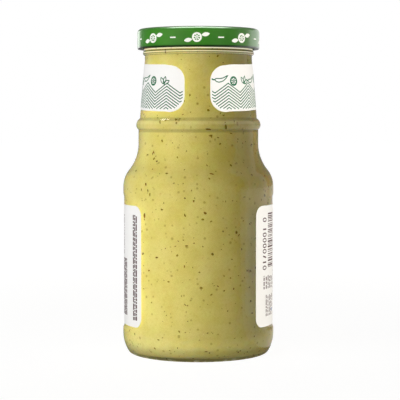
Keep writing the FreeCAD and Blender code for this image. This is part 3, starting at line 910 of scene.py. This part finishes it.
def neck_motifs(wall, end):
    """A pepper, a slice of lime and three leaves in turn."""
    patches = []
    number, along = 0, -end + 6.0
    while along < end - 5.0:
        up = NECK_MOTIF_LEVELS[number % 2]
        if number % 3 == 0:
            body, tail = (on_neck(wall, moved(line, along - 3.2, up, 16)) for line in (
                chilli(NECK_CHILLI), stalk(NECK_CHILLI)))
            patches += [stroke(body, PRINT_LINE, closed=True), stroke(tail, PRINT_LINE * 1.4)]
        elif number % 3 == 1:
            base = neck_droop(wall, along) + NECK_LABEL_BOTTOM
            patches += lime_wheel(along, base + up, 2.1, PRINT_LINE)
        else:
            for turn in (25, 75, 125):
                shape = moved(leaf(3.6), along, up - 2.0, turn)
                patches.append(stroke(on_neck(wall, shape), PRINT_LINE, closed=True))
        number += 1
        along += NECK_MOTIF_PITCH
    return patches


def print_neck_label(wall, green):
    end = pi * wall.radius - NECK_LABEL_HALF_GAP
    return printed("neck_print", neck_zigzags(wall, end) + neck_motifs(wall, end), wall, green)


def small_print(wall):
    """What stands at the label's two ends: plain bars, rings and dashes."""
    right, left = wall.along(BODY_LABEL_RIGHT), wall.along(BODY_LABEL_LEFT)
    patches, at = [], 44.0
    while at < 70.0:
        thick = random.choice((0.3, 0.3, 0.5, 0.8))
        patches.append(filled(rounded_box(right + 11.4, right + 20.5, at, at + thick, 0.05, 1)))
        at += thick + random.choice((0.35, 0.5, 0.8))
    patches += glyphs(43.0, 70.0, right + 7.6)
    for lines in ((33.5, 40.0, right + 6.5, right + 20.0, 2.4, 1.1, True),
                  (20.0, 30.5, right + 9.0, right + 20.0, 2.2, 0.9, True),
                  (right + 22.9, right + 37.4, 20.0, 69.0, 2.1, 0.6),
                  (18.5, 70.0, left - 6.9, left - 2.9, 1.35, 0.95, True),
                  (20.0, 48.0, left - 23.0, left - 13.8, 1.5, 1.0, True),
                  (50.0, 69.5, left - 20.8, left - 19.8, 1.3, 0.8, True),
                  (left - 39.6, left - 25.6, 20.0, 69.0, 2.1, 0.6)):
        patches += dashes(*lines)
    return patches


def front_motifs():
    """Peppers, slices of lime and leaves in the front's oval."""
    patches = []
    for length, *place in ((17.0, -17.0, 49.0, -8.0), (16.0, 1.5, 41.0, 12.0),
                           (13.0, -9.0, 55.0, 4.0)):
        patches.append(filled(moved(chilli(length), *place)))
        patches.append(stroke(moved(stalk(length), *place), 0.8))
    for along, up, radius in ((-21.0, 41.5, 4.4), (20.5, 49.5, 5.0), (12.5, 37.2, 3.2)):
        patches += lime_wheel(along, up, radius, 0.45)
    for place in ((8.0, 52.0, 20), (10.5, 53.2, 75), (-7.0, 36.5, 200), (-8.2, 35.2, 150)):
        patches.append(filled(moved(leaf(5.0), *place)))
    return patches


def print_body_label(wall, green, dark, cream, blue):
    """Small print and a blue square at the ends; between them, a green field with a cream oval and
    borders, and motifs over it."""
    corner = wall.along(BODY_LABEL_RIGHT) + 17.0
    square = [filled(rounded_box(corner, corner + 1.6, 21.8, 23.4, 0.1, 2))]
    field = [filled(rounded_box(-40.0, 40.0, 20.0, 70.0, 5.0))]
    zigzag = [(-37.0 + 2.0 * step, 23.2 + 1.8 * (step % 2)) for step in range(38)]
    light = [filled(moved(circle(30.0, 72, 0.5), 0.0, FRONT_MIDDLE)),
             stroke(moved(circle(32.0, 72, 0.53), 0.0, FRONT_MIDDLE), 0.5, closed=True),
             stroke(zigzag, 0.45), stroke([(x, 2 * FRONT_MIDDLE - y) for x, y in zigzag], 0.45)]
    return [
        printed("body_small_print", small_print(wall), wall, dark),
        printed("body_square", square, wall, blue, level=2),
        printed("body_field", field, wall, green),
        printed("body_oval", light, wall, cream, level=2),
        printed("body_motifs", front_motifs(), wall, green, level=3)]


def print_lid(white):
    """A slice of lime between two leaves, eight times round the skirt, and dashes in between."""
    wall = Wall(0.0, LID_RADIUS)
    middle = (LID_BOTTOM + LID_TOP) / 2 - 0.4
    patches = []
    for number in range(LID_PRINTS):
        along = wall.along(360.0 / LID_PRINTS * number + LID_PRINT_TURN)
        for turn in (24.0, 204.0):
            tip = moved([(2.4, 0.0)], along, middle, turn)[0]
            patches.append(filled(moved(leaf(4.1, 0.24), *tip, turn - 14.0)))
        patches += lime_wheel(along, middle, 2.1, 0.5)
        dash = rounded_box(-1.5, 1.5, -0.3, 0.3, 0.2, 3)
        patches.append(filled(moved(dash, along + wall.radius * pi / LID_PRINTS, middle)))
    return printed("lid_print", patches, wall, white, under=0.0)


# ---- Herbs, peppers and seeds that lie against the glass
class Skin:
    """The salsa's outside, measured along its outline from the middle of the bottom upwards."""

    def __init__(self, outline):
        self.outline = outline
        self.runs = [0.0]
        for here, there in zip(outline, outline[1:]):
            self.runs.append(self.runs[-1] + dist(here, there))

    def level(self, run):
        """The distance from the axis and the height at a run, and which way is out."""
        index = min(max(bisect.bisect(self.runs, run) - 1, 0), len(self.outline) - 2)
        (radius, height), (next_radius, next_height) = self.outline[index:index + 2]
        span = self.runs[index + 1] - self.runs[index]
        share = (run - self.runs[index]) / span
        return (radius + (next_radius - radius) * share, height + (next_height - height) * share,
                (next_height - height) / span, (radius - next_radius) / span)

    def run_at(self, height):
        """The run at a height on the side."""
        for index in range(len(self.outline) - 1, 0, -1):
            lower, upper = self.outline[index - 1][1], self.outline[index][1]
            if lower <= height <= upper:
                share = (height - lower) / max(upper - lower, HAIR)
                return self.runs[index - 1] + share * (self.runs[index] - self.runs[index - 1])
        return self.runs[-1]

    def place(self, angle, run, across, lift):
        radius, height, out, up = self.level(run)
        turned_on = angle + degrees(across / max(radius, 1.0))
        return spot(turned_on, height + up * lift, radius + out * lift)

    def random_place(self):
        """An angle and a run, evenly spread, where no label hides the salsa."""
        while True:
            run = random.uniform(3.0, self.runs[-1] - 1.0)
            radius, height = self.level(run)[:2]
            angle = random.uniform(-180.0, 180.0)
            behind_body = (
                BODY_LABEL_BOTTOM + BEHIND_LABEL < height < BODY_LABEL_TOP - BEHIND_LABEL and
                BODY_LABEL_RIGHT + BEHIND_LABEL_ANGLE < angle % 360
                < BODY_LABEL_LEFT - BEHIND_LABEL_ANGLE)
            behind_neck = (NECK_LABEL_BOTTOM + BEHIND_LABEL < height < NECK_LABEL_TOP - BEHIND_LABEL
                           and abs(angle) > NECK_WINDOW)
            if random.random() * SALSA_RADIUS < radius and not (behind_body or behind_neck):
                return angle, run


def add_fleck(mesh_data, skin, angle, run, length, width, turn, rise):
    """One flat bit with an uneven rim, its foot just inside the salsa."""
    corners = 6 if length < 0.7 else 9
    cosine, sine = cos(turn), sin(turn)
    rim, crown = [], []
    for corner in range(corners):
        around = 2 * pi * corner / corners
        reach = random.uniform(0.7, 1.12) / 2
        x, y = cos(around) * length * reach, sin(around) * width * reach
        across, along = x * cosine - y * sine, x * sine + y * cosine
        rim.append(mesh_data.verts.new(skin.place(angle, run + along, across, FLECK_SINK)))
        crown.append(mesh_data.verts.new(
            skin.place(angle, run + along * FLECK_SLOPE, across * FLECK_SLOPE, rise)))
    foot = mesh_data.verts.new(skin.place(angle, run, 0.0, FLECK_FOOT))
    top = mesh_data.verts.new(skin.place(angle, run, 0.0, rise * 1.2))
    for corner in range(corners):
        following = (corner + 1) % corners
        mesh_data.faces.new((crown[corner], crown[following], top))
        mesh_data.faces.new((rim[corner], rim[following], crown[following], crown[corner]))
        mesh_data.faces.new((rim[following], rim[corner], foot))


def scatter(name, skin, finish, count, longest, shortest, slim, placed=()):
    """Bits of one kind, most of them small. Those placed come as (angle, height, length, width,
    turn), and the others lie anywhere."""
    mesh_data = bmesh.new()
    for angle, height, length, width, turn in placed:
        add_fleck(mesh_data, skin, angle, skin.run_at(height), length, width, radians(turn),
                  FLECK_RISE)
    for _ in range(count):
        length = shortest * (longest / shortest) ** (random.random() ** 1.7)
        width = length * random.uniform(*slim)
        angle, run = skin.random_place()
        add_fleck(mesh_data, skin, angle, run, length, width, random.uniform(0, pi),
                  min(0.09, 0.05 + length * 0.04))
    return piece_from(name, mesh_data, finish, sharp_angle=60.0)


def add_bits(skin):
    """Each kind has its two tones, how many lie anywhere, their longest, their shortest and how slim
    they are, and those that have a set place."""
    kinds = (
        ("herb_flecks", (166, 150, 54), (128, 112, 32), 420, 1.9, 0.6, (0.35, 0.8),
         [(-46.0, 97.0, 1.9, 1.2, 60.0), (12.0, 108.6, 2.2, 1.2, 5.0)]),
        ("charred_bits", (158, 126, 46), (112, 86, 28), 200, 1.9, 0.5, (0.35, 0.8),
         [(10.5, 112.2, 3.6, 0.9, -8.0), (-49.0, 100.0, 2.6, 0.9, 80.0)]),
        ("chilli_skins", (160, 118, 40), (132, 112, 36), 60, 2.6, 0.9, (0.25, 0.5),
         [(-46.5, 70.0, 3.0, 1.4, 90.0), (11.0, 90.0, 2.4, 0.9, -12.0)]),
        ("pale_seeds", (244, 236, 176), (230, 216, 140), 70, 1.7, 0.5, (0.55, 0.9)))
    return [scatter(name, skin, fleck(name[:-1], light, dark), *rest)
            for name, light, dark, *rest in kinds]


# ---- Stage
JAR_MIDDLE = (LID_TOP + GLASS_BOTTOM) / 2 * MM
WARM_FILL = (1.0, 0.73, 0.22)
WHITE = (1, 1, 1, 1)
BACK_GLOSS = 0.2
FLOOR_REACH = 6.0
CAMERA_PLACE = (0.0008, -0.725, 0.11715)
CAMERA_DIP = 3.236
CAMERA_SENSOR = 36.0
CAMERA_LENS = 130.7


def collected(name, pieces):
    made = bpy.data.collections.new(name)
    for piece in pieces:
        made.objects.link(piece)
    return made


def lamp(name, azimuth, elevation, size, radiance, only_for=(), passes=(), tint=(1, 1, 1),
         distance=1.0, aim=JAR_MIDDLE, card=False):
    """A soft box that looks at the jar and lights it, or a card, which is only mirrored in it. The
    pieces that it passes cast no shadow in its light."""
    data = bpy.data.lights.new(name, "AREA")
    data.shape = "RECTANGLE"
    data.size, data.size_y = size
    data.energy = radiance * pi * size[0] * size[1]
    data.color = tint
    placed = add_object(name, data)
    turn, lift = radians(azimuth), radians(elevation)
    away = Vector((sin(turn) * cos(lift), -cos(turn) * cos(lift), sin(lift)))
    placed.location = Vector((0, 0, aim)) + away * distance
    placed.rotation_euler = away.to_track_quat("Z", "Y").to_euler()
    placed.visible_camera = placed.visible_transmission = False
    placed.visible_diffuse, placed.visible_glossy = not card, card
    if only_for:
        placed.light_linking.receiver_collection = collected(name + "_receivers", only_for)
    if passes:
        blockers = collected(name + "_blockers", passes)
        for entry in blockers.collection_objects:
            entry.light_linking.link_state = "EXCLUDE"
        placed.light_linking.blocker_collection = blockers


def seen_directly(made):
    """1 for the rays that see the background: from the camera, or by way of gloss or glass alone."""
    mirrored = made.math("MAXIMUM", made.ray("Is Glossy Ray"), made.ray("Is Transmission Ray"))
    unlit = made.math("LESS_THAN", made.ray("Diffuse Depth"), 0.5)
    return made.math("MAXIMUM", made.ray("Is Camera Ray"), made.math("MULTIPLY", mirrored, unlit))


def make_world(ambient, front_gloss):
    """White where it is seen; dim for what it lights and in reflections, most of all those of the
    front."""
    world = bpy.data.worlds.new("studio")
    world.use_nodes = True
    bpy.context.scene.world = world
    made = Finish(tree=world.node_tree, output="OutputWorld")
    behind = made.fade(made.coordinate("Y"), 0.25, 0.5, front_gloss, BACK_GLOSS)
    mirrored = made.math(
        "MULTIPLY_ADD", made.ray("Is Glossy Ray"), made.math("SUBTRACT", behind, 1.0), 1.0)
    seen = seen_directly(made)
    strength = made.fade(seen, 0.0, 1.0, ambient, mirrored, "LINEAR")
    colour = made.blend(seen, (*WARM_FILL, 1), WHITE)
    made.finish(made.first("Background", colour, strength))


def make_floor(bounce_left, bounce_right):
    """A pale floor. It gives more light back at the jar's left, where the key falls on it, and none
    from under the jar. Mirrored in the jar it is dim, with a lighter stretch at the right."""
    made = Finish("pale_floor")
    rightwards, backwards = made.coordinate("X"), made.coordinate("Y")
    radius = made.node("VectorMath", {0: made.place}, operation="LENGTH").outputs["Value"]
    bounce = made.math("MULTIPLY", made.fade(rightwards, -0.12, 0.15, bounce_left, bounce_right),
                       made.fade(radius, 0.028, 0.04))
    fill = made.blend(made.fade(rightwards, -0.08, 0.08), WHITE, (*WARM_FILL, 1))
    seen = seen_directly(made)
    far = made.math("MULTIPLY_ADD", made.fade(radius, 0.12, 0.5), 0.035, 0.965)
    paint = made.first("BsdfDiffuse", (0.16, 0.16, 0.16, 1))
    light = made.first("Emission", made.blend(seen, fill, WHITE),
                        made.fade(seen, 0.0, 1.0, bounce, far, "LINEAR"))
    behind = made.fade(backwards, 0.0, 0.3, 0.1, BACK_GLOSS)
    beside = made.math("MULTIPLY_ADD", rightwards, 0.445, backwards)
    card = made.math("MULTIPLY", made.math("GREATER_THAN", beside, 0.0),
                     made.math("GREATER_THAN", rightwards, 0.04))
    gloss = made.math("MAXIMUM", behind, made.math("MULTIPLY", card, 0.6))
    mirrored = made.first("Emission", WHITE, gloss)
    both = made.first("MixShader", made.ray("Is Glossy Ray"),
                       made.first("AddShader", paint, light), mirrored)
    mesh = bpy.data.meshes.new("floor")
    mesh.from_pydata([(x * FLOOR_REACH, y * FLOOR_REACH, 0) for x, y in (
        (-1, -1), (1, -1), (1, 1), (-1, 1))], [], [(0, 1, 2, 3)])
    mesh.materials.append(made.finish(both))
    floor = add_object("floor", mesh)
    return floor


def make_camera():
    """A long lens at the height of the collar, looking a little down at the jar's middle."""
    data = bpy.data.cameras.new("camera")
    data.sensor_width, data.lens = CAMERA_SENSOR, CAMERA_LENS
    camera = add_object("camera", data)
    camera.location = CAMERA_PLACE
    camera.rotation_euler = (radians(90 - CAMERA_DIP), 0, 0)
    bpy.context.scene.camera = camera


random.seed(8)
glass = make_glass()
salsa, skin = make_salsa()
fill_pieces = [salsa] + add_bits(skin)
lid = make_lid(enamel())
body_wall = Wall((BODY_LABEL_RIGHT + BODY_LABEL_LEFT) / 2, PANEL_RADIUS)
neck_wall = Wall(180.0 - NECK_LABEL_TURN, NECK_BOTTOM_RADIUS, NECK_SLOPE, COLLAR_TOP)
paper = label_paper()
leaf_green = ink("leaf_green_ink", (0, 108, 66), (0, 96, 58))
print_pieces = [
    make_body_label(body_wall, paper), make_neck_label(neck_wall, paper),
    print_neck_label(neck_wall, leaf_green),
    *print_body_label(
        body_wall, leaf_green, ink("small_print_ink", (78, 34, 42), (62, 28, 36)),
        ink("cream_ink", (240, 232, 196), (234, 224, 184)),
        ink("blue_ink", (40, 96, 168), (34, 84, 150))),
    print_lid(ink("white_ink", (244, 246, 240), (236, 240, 232)))]

make_world(0.05, 0.05)
unshaded = [make_floor(0.48, 0.28)] + print_pieces
fill_and_lid = fill_pieces + [lid]
lamp("key", -57, 2, (0.8, 1.1), 1.82, passes=unshaded)
lamp("warm_key", -34, 2, (0.6, 1.1), 1.95, fill_and_lid, unshaded, tint=(1.0, 0.87, 0.55))
lamp("heel_glow", -10, -65, (0.2, 0.06), 1.9, fill_pieces, unshaded, distance=0.1, aim=0.0)
lamp("back_right", 122, 12, (0.8, 0.9), 2.7, fill_and_lid, tint=WARM_FILL)
lamp("back_left", -150, 12, (0.8, 0.9), 3.0, fill_and_lid, tint=(1.0, 0.92, 0.75))
lamp("right_card", 96, 0, (0.171, 0.6), 0.45, distance=0.178, aim=0.3, card=True)
lamp("paper_fill", 60, 15, (1.0, 1.0), 4.6, print_pieces)
lamp("paper_fill_left", -60, 15, (1.0, 1.0), 2.2, print_pieces)
lamp("lid_fill", 40, 5, (0.8, 0.8), 2.1, [lid])
lamp("lid_card", -152, 4, (0.3, 0.3), 2.6, [lid], aim=0.15, card=True)
lamp("lid_right_card", 138, 4, (1.1, 0.6), 1.2, [lid], aim=0.15, card=True)
lamp("lid_top_card", 0, 86, (1.2, 0.5), 15.0, [lid], card=True)
lamp("paper_fill_back", 178, 10, (1.0, 1.0), 2.4, print_pieces)
lamp("collar_glint", -123, 57, (0.34, 0.16), 9.0, [glass], card=True)
make_camera()
bpy.context.scene.view_settings.view_transform = "Standard"
